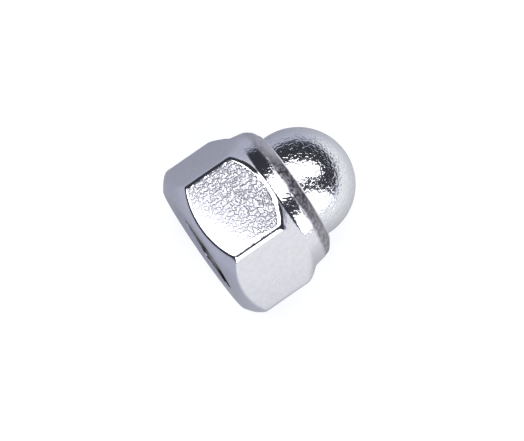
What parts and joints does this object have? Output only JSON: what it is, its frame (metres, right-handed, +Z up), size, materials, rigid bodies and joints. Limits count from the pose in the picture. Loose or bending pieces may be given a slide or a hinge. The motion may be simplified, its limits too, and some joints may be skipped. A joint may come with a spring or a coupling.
{
  "type": "cap nut",
  "caption": "Hexagon cap nut lying on a flat: a chamfered body whose rolled collar holds a drawn dome and a locking ring, to close over the end of a bolt.",
  "frame": {"origin": "centre of the bearing face, on the thread axis", "axes": "+X along the thread axis from the bearing face to the dome, +Z up with the nut lying on one flat of the hexagon"},
  "size_m": [0.0145, 0.0148, 0.013],
  "materials": {
    "body_zinc": "bright zinc plate on cold-formed steel, lightly pitted",
    "dome_zinc": "bright zinc plate on drawn sheet steel, fine orange peel",
    "ring_polyamide": "natural polyamide"
  },
  "bodies": {
    "root": {"nut_body": "body_zinc", "locking_ring": "ring_polyamide", "dome_cap": "dome_zinc"}
  },
  "joints": []
}
